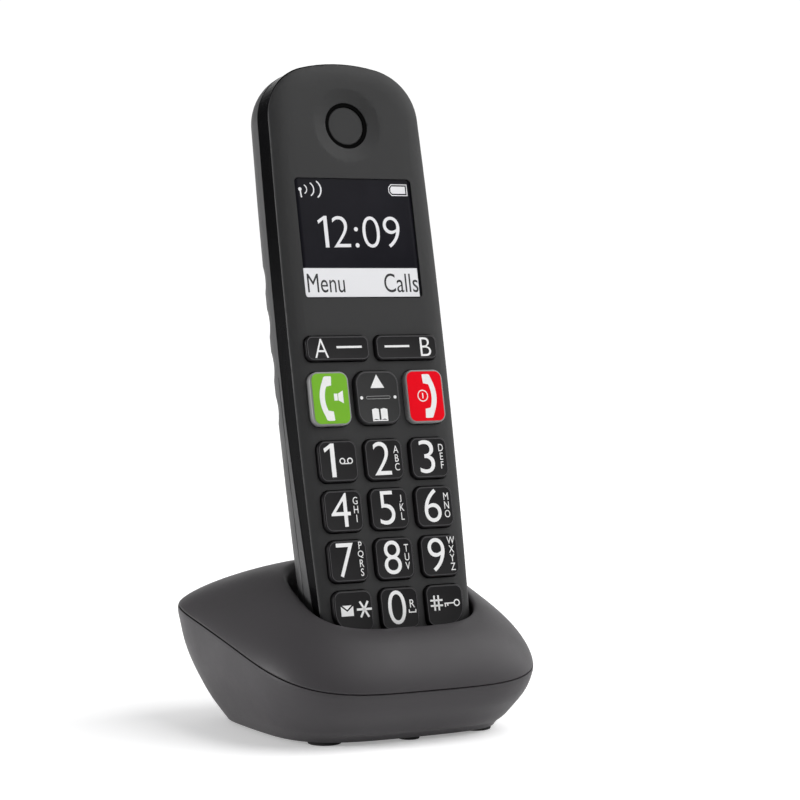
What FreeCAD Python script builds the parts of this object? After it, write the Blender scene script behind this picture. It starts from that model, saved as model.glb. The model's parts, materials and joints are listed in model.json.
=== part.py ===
"""Cordless handset standing in its charging base, millimetres, +Z up.

World frame: the origin is on the table under the middle of the base, +X is the user's right, -Y is towards the user.
Handset frame: x across, y from the key tops towards the back, z from the bottom end to the earpiece end.
"""

import FreeCAD, Part
import math
import os
import Sketcher

from FreeCAD import Placement, Rotation, Vector

SIZES = {
    # how the handset stands in the base
    "lean_deg": 12.44,
    "dock_y": -26.47,
    "dock_height": 17.87,
    "lift_travel": 60.0,
    # handset outline: every side is an arc, the corners are tangent arcs
    "handset_length": 168.4,
    "handset_half_width": 24.05,
    "widest_z": 92.0,
    "side_radius": 2430.0,
    "top_radius": 50.0,
    "top_corner": 15.0,
    "bottom_radius": 50.0,
    "bottom_corner": 14.0,
    # depths, measured back from the key tops
    "face_depth": 1.15,
    "face_back": 2.8,
    "face_roll": 6.5,
    "face_short": 0.55,
    "band_back": 9.3,
    "band_back_low": 5.6,
    "band_taper_top": 72.0,
    "band_recess": 0.12,
    "back_roll_start": 10.5,
    "back_depth": 22.5,
    "back_roll": 11.5,
    "wall": 1.85,
    # finger grips: four shallow dips in each rear corner
    "grip_low_z": 73.9,
    "grip_pitch": 12.1,
    "grip_reach": 14.0,
    "grip_radius": 20.0,
    # keys
    "key_pitch_x": 14.0,
    "key_pitch_z": 13.44,
    "key_width": 11.6,
    "key_height": 11.2,
    "key_corner": 2.3,
    "key_cut_corner": 5.4,
    "key_edge": 0.45,
    "key_gap": 0.3,
    "key_total": 3.6,
    "flange_thick": 0.7,
    "flange_reach": 0.6,
    "keypad_middle_z": 37.0,
    "call_width": 11.7,
    "call_height": 14.7,
    "call_x": 14.6,
    "call_row_z": 74.1,
    "call_corner": 2.6,
    "nav_width": 13.4,
    "nav_height": 14.7,
    "nav_corner": 3.6,
    "nav_flange": 0.3,
    "soft_width": 19.1,
    "soft_height": 6.8,
    "soft_corner": 1.9,
    "soft_x": 10.6,
    "soft_row_z": 87.9,
    # display and earpiece
    "window_width": 36.2,
    "window_low_z": 101.9,
    "window_high_z": 135.4,
    "window_corner": 1.3,
    "window_front": 1.5,
    "ear_z": 150.4,
    "dish_radius": 10.4,
    "dish_depth": 0.9,
    "ring_outer": 6.5,
    "ring_inner": 5.4,
    # boards and cells
    "board_front": 6.0,
    "board_thick": 1.2,
    "mat_front": 4.3,
    "mat_thick": 0.9,
    "cell_radius": 5.2,
    "cell_length": 44.5,
    "cell_depth": 14.4,
    "cell_low_z": 45.5,
    "door_half_width": 16.5,
    "door_low_z": 41.5,
    "door_high_z": 99.5,
    # base: seam outline, bottom outline and dome
    "seam_half_width": 41.8,
    "seam_widening": 1.4,
    "seam_half_depth": 41.5,
    "seam_front_power": 3.9,
    "seam_rear_power": 4.9,
    "seam_front_height": 14.7,
    "seam_rise": 18.3,
    "seam_bulge": 2.0,
    "floor_half_width": 32.7,
    "floor_half_depth": 31.5,
    "floor_power": 3.6,
    "floor_height": 1.0,
    "flare_power": 1.8,
    "rim_half_width": 25.3,
    "rim_front": -30.0,
    "rim_rear": 5.3,
    "rim_power": 4.0,
    "rim_height": 43.2,
    "rim_slope": 0.45,
    "shoulder_front": 1.6,
    "shoulder_rear": 1.25,
    "seam_gap": 0.3,
    "base_wall": 2.0,
    # cradle well, in the handset frame
    "well_half_width": 24.7,
    "well_front": -4.4,
    "well_back": 24.6,
    "well_corner": 11.5,
    "well_clearance": 0.15,
    # feet, screws and small parts
    "foot_radius": 4.5,
    "foot_small": 2.9,
    "foot_x": 23.0,
    "foot_front_y": -23.0,
    "foot_rear_y": 21.5,
    "foot_recess": 0.5,
    "screw_head": 2.1,
    "screw_shaft": 1.1,
    "contact_x": 9.0,
    "contact_y": 13.0,
    "contact_width": 3.0,
}

OUT = "parts"
KEY_NAMES = (("key_1", "key_2", "key_3"), ("key_4", "key_5", "key_6"),
             ("key_7", "key_8", "key_9"), ("key_star", "key_0", "key_hash"))

doc = FreeCAD.newDocument("CordlessPhone")
sheet = doc.addObject("Spreadsheet::Sheet", "Sizes")
for row, (alias, value) in enumerate(SIZES.items(), start=1):
    sheet.set(f"A{row}", alias)
    sheet.set(f"B{row}", str(value))
    sheet.setAlias(f"B{row}", alias)
doc.recompute()

made = []


def size(alias):
    """A driving dimension, read back from the sheet."""
    return float(sheet.get(alias))


def dock_placement():
    """Where the handset frame stands in the world frame."""
    place = Vector(0, size("dock_y"), size("dock_height"))
    return Placement(place, Rotation(Vector(1, 0, 0), -size("lean_deg")))


def in_handset(x, y, z):
    """A placement in the handset frame, carried into the world frame."""
    return dock_placement().multiply(Placement(Vector(x, y, z), Rotation()))


def keep(item, label, placement=None):
    """Gives a finished sub-part its name and its place."""
    item.Label = label
    if placement is not None:
        item.Placement = placement
    made.append(item)
    return item


def solid_part(label, shape, in_handset_frame=True):
    """A sub-part whose free-form shape is made with Part's own functions."""
    item = doc.addObject("Part::Feature", label)
    item.Shape = shape
    return keep(item, label, dock_placement() if in_handset_frame else Placement())


# ---------------------------------------------------------------- plain shapes in code

def box(x0, x1, y0, y1, z0, z1):
    return Part.makeBox(x1 - x0, y1 - y0, z1 - z0, Vector(x0, y0, z0))


def rod_y(radius, x, y0, y1, z):
    """A cylinder along y, from y0 to y1."""
    return Part.makeCylinder(radius, y1 - y0, Vector(x, y0, z), Vector(0, 1, 0))


def rod_z(radius, x, y, z0, z1):
    return Part.makeCylinder(radius, z1 - z0, Vector(x, y, z0))


def rounded_wire(x0, x1, z0, z1, corners, y):
    """A rounded rectangle in a plane of constant y. Corners: low left, low right, high right, high left."""
    low_left, low_right, high_right, high_left = corners
    half = math.sqrt(0.5)

    def corner(cx, cz, radius, sx, sz, start, end):
        middle = Vector(cx + sx * radius * half, y, cz + sz * radius * half)
        return Part.Arc(start, middle, end).toShape()

    p = [Vector(x0 + low_left, y, z0), Vector(x1 - low_right, y, z0),
         Vector(x1, y, z0 + low_right), Vector(x1, y, z1 - high_right),
         Vector(x1 - high_right, y, z1), Vector(x0 + high_left, y, z1),
         Vector(x0, y, z1 - high_left), Vector(x0, y, z0 + low_left)]
    edges = [Part.makeLine(p[0], p[1]),
             corner(x1 - low_right, z0 + low_right, low_right, 1, -1, p[1], p[2]),
             Part.makeLine(p[2], p[3]),
             corner(x1 - high_right, z1 - high_right, high_right, 1, 1, p[3], p[4]),
             Part.makeLine(p[4], p[5]),
             corner(x0 + high_left, z1 - high_left, high_left, -1, 1, p[5], p[6]),
             Part.makeLine(p[6], p[7]),
             corner(x0 + low_left, z0 + low_left, low_left, -1, -1, p[7], p[0])]
    return Part.Wire(edges)


def rounded_block(x0, x1, y0, y1, z0, z1, corners):
    if not isinstance(corners, (tuple, list)):
        corners = (corners,) * 4
    face = Part.Face(rounded_wire(x0, x1, z0, z1, corners, y0))
    return face.extrude(Vector(0, y1 - y0, 0))


def fused(shapes):
    first, rest = shapes[0], shapes[1:]
    return first.multiFuse(rest).removeSplitter() if rest else first


# ---------------------------------------------------------------- handset outline

def circles_meet(c1, r1, c2, r2, end):
    """The crossing of two circles in the x-z plane that lies towards the given end, -1 or 1."""
    dx, dz = c2[0] - c1[0], c2[1] - c1[1]
    d = math.hypot(dx, dz)
    a = (r1 * r1 - r2 * r2 + d * d) / (2 * d)
    h = math.sqrt(r1 * r1 - a * a)
    mx, mz = c1[0] + a * dx / d, c1[1] + a * dz / d
    points = [(mx + h * dz / d, mz - h * dx / d), (mx - h * dz / d, mz + h * dx / d)]
    return max(points, key=lambda p: end * p[1])


def out_from(centre, through, radius):
    """The point at a radius from a centre, on the line through another point."""
    dx, dz = through[0] - centre[0], through[1] - centre[1]
    d = math.hypot(dx, dz)
    return (centre[0] + dx / d * radius, centre[1] + dz / d * radius)


def between(centre, a, b, radius):
    """The middle of the short arc from a to b about a centre."""
    return out_from(centre, ((a[0] + b[0]) / 2, (a[1] + b[1]) / 2), radius)


def outline(inset, y):
    """The handset's outline as one closed wire of tangent arcs, inset all round by the same distance."""
    length = size("handset_length")
    side_r, top_r, low_r = size("side_radius"), size("top_radius"), size("bottom_radius")
    side_c = (size("handset_half_width") - side_r, size("widest_z"))
    top_c, low_c = (0.0, length - top_r), (0.0, low_r)
    corners = []
    ends = ((-1, low_c, low_r, size("bottom_corner")), (1, top_c, top_r, size("top_corner")))
    for end, end_c, end_r, corner_r in ends:
        mid = circles_meet(side_c, side_r - corner_r, end_c, end_r - corner_r, end)
        on_end = out_from(end_c, mid, end_r - inset)
        on_side = out_from(side_c, mid, side_r - inset)
        corners.append((on_end, on_side, between(mid, on_end, on_side, corner_r - inset)))
    (le, ls, lm), (te, ts, tm) = corners

    def v(p, mirror=1):
        return Vector(mirror * p[0], y, p[1])

    side_mid = (side_c[0] + side_r - inset, side_c[1])
    arcs = [Part.Arc(v(le), v(lm), v(ls)), Part.Arc(v(ls), v(side_mid), v(ts)),
            Part.Arc(v(ts), v(tm), v(te)), Part.Arc(v(te), Vector(0, y, length - inset), v(te, -1)),
            Part.Arc(v(te, -1), v(tm, -1), v(ts, -1)), Part.Arc(v(ts, -1), v(side_mid, -1), v(ls, -1)),
            Part.Arc(v(ls, -1), v(lm, -1), v(le, -1)), Part.Arc(v(le, -1), Vector(0, y, inset), v(le))]
    return Part.Wire([a.toShape() for a in arcs])


def plate(inset, y0, y1):
    """A slab of the handset's outline."""
    return Part.Face(outline(inset, y0)).extrude(Vector(0, y1 - y0, 0))


def ring(outer_inset, inner_inset, y0, y1):
    return plate(outer_inset, y0, y1).cut(plate(inner_inset, y0 - 1, y1 + 1))


def rolled(inset, reach, y_edge, y_flat):
    """A slab whose rim rolls over as a quarter ellipse, from an upright edge to a flat face."""
    sections = []
    for degrees in (0, 14, 30, 48, 68, 90):
        turn = math.radians(degrees)
        sections.append(outline(inset + reach * (1 - math.cos(turn)), y_edge + (y_flat - y_edge) * math.sin(turn)))
    # one more section a little further in, so that the roll runs out level with the flat
    sections.append(outline(inset + reach + 0.8, y_flat))
    return Part.makeLoft(sections, True, False)


# ---------------------------------------------------------------- key and window outlines

def key_cells():
    """Every key opening in the face: name, x, z, width, height, corner radii."""
    w, h, r, cut = size("key_width"), size("key_height"), size("key_corner"), size("key_cut_corner")
    cells = []
    for row, names in enumerate(KEY_NAMES):
        z = size("keypad_middle_z") + (1.5 - row) * size("key_pitch_z")
        for column, name in enumerate(names):
            corners = [r, r, r, r]
            if name == "key_star":
                corners[0] = cut
            if name == "key_hash":
                corners[1] = cut
            cells.append((name, (column - 1) * size("key_pitch_x"), z, w, h, tuple(corners)))
    call = (size("call_width"), size("call_height"), (size("call_corner"),) * 4)
    cells.append(("talk_key", -size("call_x"), size("call_row_z")) + call)
    cells.append(("end_key", size("call_x"), size("call_row_z")) + call)
    nav = (size("nav_width"), size("nav_height"), (size("nav_corner"),) * 4)
    cells.append(("navigation_key", 0.0, size("call_row_z")) + nav)
    soft = (size("soft_width"), size("soft_height"), (size("soft_corner"),) * 4)
    cells.append(("soft_key_a", -size("soft_x"), size("soft_row_z")) + soft)
    cells.append(("soft_key_b", size("soft_x"), size("soft_row_z")) + soft)
    return cells


SCREWS = ((-14.4, 94.6), (14.4, 94.6), (-12.0, 8.2), (12.0, 8.2))


# ---------------------------------------------------------------- handset shells

def front_shell():
    edge, front = size("face_back"), size("face_depth")
    # the face stops just short of the handset's top end, where the band shows past it as a thin dark rim
    short = plate(0.0, 0, edge + 1)
    short.translate(Vector(0, 0, -size("face_short")))
    shape = rolled(0.0, size("face_roll"), edge, front).common(short)
    skirt = ring(2.0, 2.7, edge - 0.4, 7.0)
    bosses = [rod_y(2.4, x, edge - 0.4, 8.2, z) for x, z in SCREWS]
    ear_z = size("ear_z")
    pad = rod_y(size("dish_radius") + 0.8, 0, edge - 0.4, 3.6, ear_z)
    shape = fused([shape, skirt, pad] + bosses)
    gap = size("key_gap")
    cuts = []
    for _, x, z, w, h, corners in key_cells():
        cuts.append(rounded_block(x - w / 2 - gap, x + w / 2 + gap, 0, edge + 0.5, z - h / 2 - gap, z + h / 2 + gap,
                                  tuple(c + gap for c in corners)))
    half = size("window_width") / 2
    cuts.append(rounded_block(-half, half, 0, edge + 0.5, size("window_low_z"), size("window_high_z"),
                              size("window_corner")))
    cuts.append(rod_y(size("ring_outer"), 0, 0, 4, ear_z))
    dish, depth = size("dish_radius"), size("dish_depth")
    ball = (dish * dish + depth * depth) / (2 * depth)
    cuts.append(Part.makeSphere(ball, Vector(0, front + depth - ball, ear_z)))
    cuts.append(rod_y(0.6, 0, 0, 4, 6.5))
    cuts += [rod_y(size("screw_shaft") + 0.05, x, 4.4, 9, z) for x, z in SCREWS]
    return shape.cut(Part.Compound(cuts))


def band_zone(margin):
    """The space in front of the band's rear edge, which comes forward towards the bottom end."""
    deep, low, turn = size("band_back") + margin, size("band_back_low") + margin, size("band_taper_top")
    points = [Vector(-40, -1, -20), Vector(-40, low - 20 * (deep - low) / turn, -20), Vector(-40, deep, turn),
              Vector(-40, deep, 200), Vector(-40, -1, 200), Vector(-40, -1, -20)]
    return Part.Face(Part.makePolygon(points)).extrude(Vector(80, 0, 0))


def accent_band():
    front = size("face_back") + 0.05
    return ring(size("band_recess"), size("wall"), front, size("band_back") + 1).common(band_zone(-0.05))


def back_solid(inset):
    """The rear half of the handset as a filled shape, inset all round."""
    start = size("back_roll_start")
    slab = plate(inset, 2.85, start)
    reach = size("back_roll") - inset
    return slab.fuse(rolled(inset, reach, start, size("back_depth") - inset)).removeSplitter()


def door_block(margin):
    half = size("door_half_width") + margin
    return rounded_block(-half, half, 15, 30, size("door_low_z") - margin, size("door_high_z") + margin, 3.0 + margin)


def cell_xs():
    return (-size("cell_radius") - 0.35, size("cell_radius") + 0.35)


def rear_shell(outer, inner):
    shape = outer.cut(inner).cut(band_zone(0.05))
    wall = 1.2
    low, high = size("cell_low_z") - 3.6, size("cell_low_z") + size("cell_length") + 3.6
    ledge = rounded_block(-19.5, 19.5, 18.6, 19.8, size("door_low_z") - 3, size("door_high_z") + 3, 3).common(inner)
    tray = box(-12.3 - wall, 12.3 + wall, 8.6 - wall / 2, 19.0, low - wall, high + wall)
    bay = box(-12.3, 12.3, 8.6 + wall / 2, 30, low, high)
    bosses = []
    bores = []
    for x, z in SCREWS:
        bosses.append(rod_y(3.4, x, 8.4, 21.0, z).common(outer))
        bores.append(rod_y(size("screw_head") + 0.25, x, 11.5, 30, z))
        bores.append(rod_y(size("screw_shaft") + 0.15, x, 8, 12, z))
    shape = fused([shape, ledge, tray] + bosses)
    cuts = [bay, door_block(0.2)] + bores
    for ring_radius, count in ((0.0, 1), (3.0, 6), (6.0, 12)):
        for step in range(count):
            turn = math.radians(360.0 / count * step)
            cuts.append(rod_y(0.75, ring_radius * math.cos(turn), 18, 30, 128 + ring_radius * math.sin(turn)))
    for sign in (-1, 1):
        x = sign * size("contact_x")
        cuts.append(box(x - 2.0, x + 2.0, 9.4, 16.6, -2, 4))
        side = box(min(sign * 12, sign * 30), max(sign * 12, sign * 30), 10.9, 30, 60, 125)
        for scallop in range(4):
            z = size("grip_low_z") + size("grip_pitch") * scallop
            dip = Part.makeTorus(size("grip_reach") + size("grip_radius"), size("grip_radius"), Vector(sign * 10.2, 8.9, z))
            cuts.append(dip.common(side))
    groove = ring(-0.5, 0.35, 10.4, 10.7).common(box(-40, 40, 0, 30, -5, 82))
    return shape.cut(Part.Compound(cuts)).cut(groove)


def battery_door(outer, inner):
    skin = outer.cut(inner).common(door_block(0.0))
    catch = box(-5, 5, 19.9, 21.3, size("door_low_z") + 1.5, size("door_low_z") + 3.5)
    nail = Part.makeCylinder(9.0, 10, Vector(-5, size("back_depth") + 8.1, size("door_high_z") - 6), Vector(1, 0, 0))
    return skin.fuse(catch).removeSplitter().cut(nail)


# ---------------------------------------------------------------- document objects with sketches

def plane_of(body, role):
    return next(f for f in body.Origin.OriginFeatures if f.Role == role)


def rounded_sketch(body, name, plane, half_w, half_h, corners):
    """A constrained rounded rectangle about the origin. Sizes are expressions on the sheet."""
    sk = body.newObject("Sketcher::SketchObject", name)
    sk.AttachmentSupport = [(plane_of(body, plane), "")]
    sk.MapMode = "FlatFace"
    start = {"w": 6.0, "h": 5.0, "r": 1.0}
    w, h, r = start["w"], start["h"], start["r"]
    line, arc = Part.LineSegment, Part.ArcOfCircle
    up = Vector(0, 0, 1)

    def quarter(cx, cy, a0):
        circle = Part.Circle(Vector(cx, cy, 0), up, r)
        return arc(circle, math.radians(a0), math.radians(a0 + 90))

    sk.addGeometry([
        line(Vector(-w + r, -h, 0), Vector(w - r, -h, 0)), quarter(w - r, -h + r, 270),
        line(Vector(w, -h + r, 0), Vector(w, h - r, 0)), quarter(w - r, h - r, 0),
        line(Vector(w - r, h, 0), Vector(-w + r, h, 0)), quarter(-w + r, h - r, 90),
        line(Vector(-w, h - r, 0), Vector(-w, -h + r, 0)), quarter(-w + r, -h + r, 180)], False)
    con = Sketcher.Constraint
    sk.addConstraint([
        con("Tangent", 0, 2, 1, 1), con("Tangent", 1, 2, 2, 1), con("Tangent", 2, 2, 3, 1),
        con("Tangent", 3, 2, 4, 1), con("Tangent", 4, 2, 5, 1), con("Tangent", 5, 2, 6, 1),
        con("Tangent", 6, 2, 7, 1), con("Tangent", 7, 2, 0, 1),
        con("Horizontal", 0), con("Vertical", 2), con("Horizontal", 4), con("Vertical", 6)])
    named = [("right", con("DistanceX", -1, 1, 2, 1, w), half_w),
             ("left", con("DistanceX", 6, 1, -1, 1, w), half_w),
             ("top", con("DistanceY", -1, 1, 4, 1, h), half_h),
             ("bottom", con("DistanceY", 0, 1, -1, 1, h), half_h),
             ("low_right", con("Radius", 1, r), corners[1]), ("high_right", con("Radius", 3, r), corners[2]),
             ("high_left", con("Radius", 5, r), corners[3]), ("low_left", con("Radius", 7, r), corners[0])]
    for label, constraint, expression in named:
        index = sk.addConstraint(constraint)
        sk.renameConstraint(index, label)
        sk.setExpression("Constraints." + label, expression)
    return sk


def pad(body, sketch, name, length, reverse=False):
    item = body.newObject("PartDesign::Pad", name)
    item.Profile = sketch
    item.Reversed = reverse
    item.setExpression("Length", length)
    return item


def pad_block(label, half_w, half_h, corner, thickness, placement, plane="XZ_Plane"):
    """A plain plate: one sketch, one pad. On the x-z plane it grows towards -y."""
    body = doc.addObject("PartDesign::Body", label)
    sk = rounded_sketch(body, label + "_outline", plane, half_w, half_h, (corner,) * 4)
    pad(body, sk, label + "_pad", thickness)
    return keep(body, label, placement)


def front_face_of(feature):
    """The name of the face that looks furthest towards -y."""
    faces = feature.Shape.Faces
    index = min(range(len(faces)), key=lambda i: faces[i].CenterOfMass.y)
    return f"Face{index + 1}"


def key_body(name, x, z, prefix, corner_names, flange="Sizes.flange_thick"):
    """A key: a flange that stays behind the face, and a cap with rounded edges that comes through it."""
    body = doc.addObject("PartDesign::Body", name)
    half_w, half_h = f"Sizes.{prefix}_width / 2", f"Sizes.{prefix}_height / 2"
    corners = tuple("Sizes." + c for c in corner_names)
    rim = rounded_sketch(body, name + "_rim_outline", "XZ_Plane", half_w, half_h + " + Sizes.flange_reach", corners)
    pad(body, rim, name + "_rim", flange)
    cap_outline = rounded_sketch(body, name + "_cap_outline", "XZ_Plane", half_w, half_h, corners)
    cap = pad(body, cap_outline, name + "_cap", "Sizes.key_total")
    doc.recompute()
    edge = body.newObject("PartDesign::Fillet", name + "_edge")
    edge.Base = (cap, [front_face_of(cap)])
    edge.setExpression("Radius", "Sizes.key_edge")
    body.Tip = edge
    return keep(body, name, in_handset(x, size("key_total"), z))


# ---------------------------------------------------------------- handset pieces

def build_keys():
    prefixes = {"talk_key": "call", "end_key": "call", "navigation_key": "nav", "soft_key_a": "soft",
                "soft_key_b": "soft"}
    for name, x, z, *_ in key_cells():
        prefix = prefixes.get(name, "key")
        corner_names = [prefix + "_corner"] * 4
        if name == "key_star":
            corner_names[0] = "key_cut_corner"
        if name == "key_hash":
            corner_names[1] = "key_cut_corner"
        flange = "Sizes.nav_flange" if name == "navigation_key" else "Sizes.flange_thick"
        key_body(name, x, z, prefix, corner_names, flange)


def build_handset_shells():
    outer, inner = back_solid(0.0), back_solid(size("wall"))
    solid_part("front_shell", front_shell())
    solid_part("accent_band", accent_band())
    solid_part("rear_shell", rear_shell(outer, inner))
    solid_part("battery_door", battery_door(outer, inner))
    contacts = []
    trimmed = back_solid(0.12)
    for sign in (-1, 1):
        x = sign * size("contact_x")
        contacts.append(box(x - 1.8, x + 1.8, 9.6, 16.4, -1, 3.2).common(trimmed))
    solid_part("handset_charge_contacts", Part.Compound(contacts))


def build_display():
    low, high = size("window_low_z"), size("window_high_z")
    middle = (low + high) / 2
    half_w = size("window_width") / 2
    lens = rounded_block(-half_w + 0.1, half_w - 0.1, size("window_front"), 2.9, low + 0.1, high - 0.1,
                         size("window_corner"))
    flange = rounded_block(-half_w - 1.2, half_w + 1.2, 2.85, 3.45, low - 1.2, high + 1.2, 2.0)
    solid_part("display_window", fused([lens, flange]))
    half_height = "(Sizes.window_high_z - Sizes.window_low_z) / 2"
    pad_block("lcd_panel", "Sizes.window_width / 2 - 0.8", half_height + " - 0.6", "0.6", "1.1",
              in_handset(0, 4.65, middle))
    pad_block("backlight_plate", "Sizes.window_width / 2 + 0.4", half_height + " + 0.4", "1", "1.0",
              in_handset(0, 5.75, middle))


def build_earpiece():
    ear_z = size("ear_z")
    disc = rod_y(size("ring_inner"), 0, size("face_depth") + size("dish_depth") + 0.02, 3.8, ear_z)
    holder = rod_y(8.6, 0, 3.7, 4.2, ear_z)
    shape = disc.fuse(holder)
    mouth = (size("ring_outer") + size("ring_inner")) / 2
    slots = [rod_y(0.5, mouth * math.cos(math.radians(a)), 3, 5, ear_z + mouth * math.sin(math.radians(a)))
             for a in range(0, 360, 30)]
    shape = shape.cut(Part.Compound(slots))
    shape = shape.makeFillet(0.35, [e for e in shape.Edges if abs(e.CenterOfMass.y - 2.07) < 0.03
                                    and e.BoundBox.XLength > 10])
    solid_part("earpiece_cap", shape)
    can = doc.addObject("Part::Cylinder", "earpiece_capsule")
    can.Radius, can.Height = 7.6, 1.6
    turned = in_handset(0, 4.3, ear_z).multiply(Placement(Vector(), Rotation(Vector(1, 0, 0), -90)))
    keep(can, "earpiece_capsule", turned)


def build_keypad_mat():
    """The rubber sheet under the keys, with a pill per dome and a round bead that the navigation key rocks on."""
    front, thick = size("mat_front"), size("mat_thick")
    mat = rounded_block(-20.6, 20.6, front, front + thick, 10.9, 92.0, 1).common(plate(3.1, front - 1, front + 2))
    pills = [rod_y(2.6, x, front + thick - 0.1, front + thick + 0.5, z) for _, x, z, *_ in key_cells()]
    rocker = rod_x(0.38, -3.5, 3.5, front - 0.3, size("call_row_z"))
    solid_part("keypad_mat", fused([mat, rocker] + pills))


def build_handset_board():
    front, back = size("board_front"), size("board_front") + size("board_thick")
    board = plate(3.2, front, back)
    holes = [rod_y(2.8, x, front - 1, back + 1, z) for x, z in SCREWS]
    solid_part("handset_board", board.cut(Part.Compound(holes)))
    can = rounded_block(-11, 11, back + 0.05, back + 2.0, 136, 154, 1)
    hollow = rounded_block(-10.7, 10.7, back - 1, back + 1.7, 136.3, 153.7, 0.7)
    solid_part("handset_rf_shield", can.cut(hollow))
    strip = box(-14, 14, back + 0.05, back + 0.45, 161.0, 163.0)
    feed = box(-2, -0.5, back + 0.05, back + 0.45, 157, 161.5)
    ground = box(3, 4.5, back + 0.05, back + 0.45, 157, 161.5)
    solid_part("handset_antenna", fused([strip, feed, ground]))


def build_handset_sound():
    z = 128.0
    frame_body = rod_y(9.0, 0, 16.2, 20.5, z).fuse(rod_y(9.8, 0, 19.8, 20.5, z))
    cone = Part.makeCone(8.2, 4.0, 2.0, Vector(0, 20.6, z), Vector(0, -1, 0))
    solid_part("ringer_speaker", frame_body.cut(cone).removeSplitter())
    mic = doc.addObject("Part::Cylinder", "microphone")
    mic.Radius, mic.Height = 2.4, 2.2
    keep(mic, "microphone", in_handset(0, 3.4, 7.0).multiply(Placement(Vector(), Rotation(Vector(1, 0, 0), -90))))


def build_cells():
    low, length, radius, depth = size("cell_low_z"), size("cell_length"), size("cell_radius"), size("cell_depth")
    cells, metal = [], []
    for index, x in enumerate(cell_xs()):
        can = rod_z(radius, x, depth, low, low + length - 0.9)
        nub = rod_z(1.9, x, depth, low + length - 1.0, low + length)
        cell = can.fuse(nub)
        if index:
            cell.rotate(Vector(x, depth, low + length / 2), Vector(1, 0, 0), 180)
        cells.append(cell)
    solid_part("battery_cells", Part.Compound(cells))
    ends = (low - 0.15, low + length + 0.15)
    for index, x in enumerate(cell_xs()):
        flat_z, coil_z = (ends[1], ends[0]) if index == 0 else (ends[0], ends[1])
        out = 1 if flat_z == ends[1] else -1
        metal.append(box(x - 3.6, x + 3.6, depth - 3.6, depth + 3.6, min(flat_z, flat_z + out * 0.4),
                         max(flat_z, flat_z + out * 0.4)))
        wall_z = coil_z - out * 3.2
        bow = rod_x(3.1, x - 2.4, x + 2.4, depth, wall_z).cut(rod_x(2.7, x - 3, x + 3, depth, wall_z))
        near, far = sorted((wall_z, wall_z + out * 9))
        bow = bow.common(box(x - 3, x + 3, depth - 9, depth + 9, near, far))
        near, far = sorted((wall_z, wall_z - out * 0.15))
        bow = bow.fuse(box(x - 3, x + 3, depth - 3.6, depth + 3.6, near, far)).removeSplitter()
        metal.append(bow)
    solid_part("battery_contacts", Part.Compound(metal))


def build_handset_screws():
    screws = []
    for x, z in SCREWS:
        head = rod_y(size("screw_head"), x, 9.95 + 1.6, 9.95 + 3.2, z)
        shaft = rod_y(size("screw_shaft"), x, 4.8, 11.6, z)
        slot = fused([box(x - 1.3, x + 1.3, 12.4, 14, z - 0.28, z + 0.28),
                      box(x - 0.28, x + 0.28, 12.4, 14, z - 1.3, z + 1.3)])
        screws.append(head.fuse(shaft).removeSplitter().cut(slot))
    solid_part("handset_screws", Part.Compound(screws))


# ---------------------------------------------------------------- base shape

def seam_height(y):
    """Height of the parting line, bowed upwards between its front and its rear."""
    half = size("seam_half_depth")
    chord = size("seam_front_height") + size("seam_rise") * (y + half) / (2 * half)
    return chord + size("seam_bulge") * (1 - (y / half) ** 2)


def loop_point(turn, half_w, widening, middle, half_d, front_power, rear_power):
    """A point on a rounded four-sided loop, by the superellipse formula."""
    c, s = math.cos(turn), math.sin(turn)
    power = rear_power if s > 0 else front_power
    across = math.copysign(abs(c) ** (2 / power), c)
    along = math.copysign(abs(s) ** (2 / power), s)
    return (half_w + widening * along) * across, middle + half_d * along


def base_section(down, up, inset):
    """One closed curve round the base: down runs from the seam to the floor, up from the seam to the rim."""
    seam_w, widening = size("seam_half_width") - inset, size("seam_widening")
    seam_d = size("seam_half_depth") - inset
    front_p, rear_p, floor_p = size("seam_front_power"), size("seam_rear_power"), size("floor_power")
    share = down ** size("flare_power")
    rim_mid = (size("rim_rear") + size("rim_front")) / 2
    rim_d = (size("rim_rear") - size("rim_front")) / 2
    rim_p = size("rim_power")
    points = []
    count = 36
    for step in range(count):
        turn = 2 * math.pi * (step + 0.5) / count
        x, y = loop_point(turn, seam_w + (size("floor_half_width") - inset - seam_w) * share, widening * (1 - share),
                          0, seam_d + (size("floor_half_depth") - inset - seam_d) * share,
                          front_p + (floor_p - front_p) * share, rear_p + (floor_p - rear_p) * share)
        z = (1 - down) * seam_height(y) + down * (size("floor_height") + inset)
        if up:
            rim_x, rim_y = loop_point(turn, size("rim_half_width"), 0, rim_mid, rim_d, rim_p, rim_p)
            rearward = (1 + math.sin(turn)) / 2
            power = size("shoulder_front") + (size("shoulder_rear") - size("shoulder_front")) * rearward
            inward = 1 - (1 - up ** power) ** (1 / power)
            rim_z = size("rim_height") + size("rim_slope") * rim_y - 1.1 * inset
            x, y, z = x + (rim_x - x) * inward, y + (rim_y - y) * inward, z + (rim_z - z) * up
        points.append(Vector(x, y, z))
    curve = Part.BSplineCurve()
    curve.interpolate(Points=points, PeriodicFlag=True)
    return Part.Wire(curve.toShape())


def base_solid(inset):
    """The whole base as a filled shape, inset all round: floor outline, seam outline, rim outline."""
    steps = [(d, 0) for d in (1.0, 0.88, 0.7, 0.5, 0.3, 0.12, 0)]
    steps += [(0, u) for u in (0.08, 0.25, 0.47, 0.7, 0.88, 0.97, 1)]
    return Part.makeLoft([base_section(down, up, inset) for down, up in steps], True, False)


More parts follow.
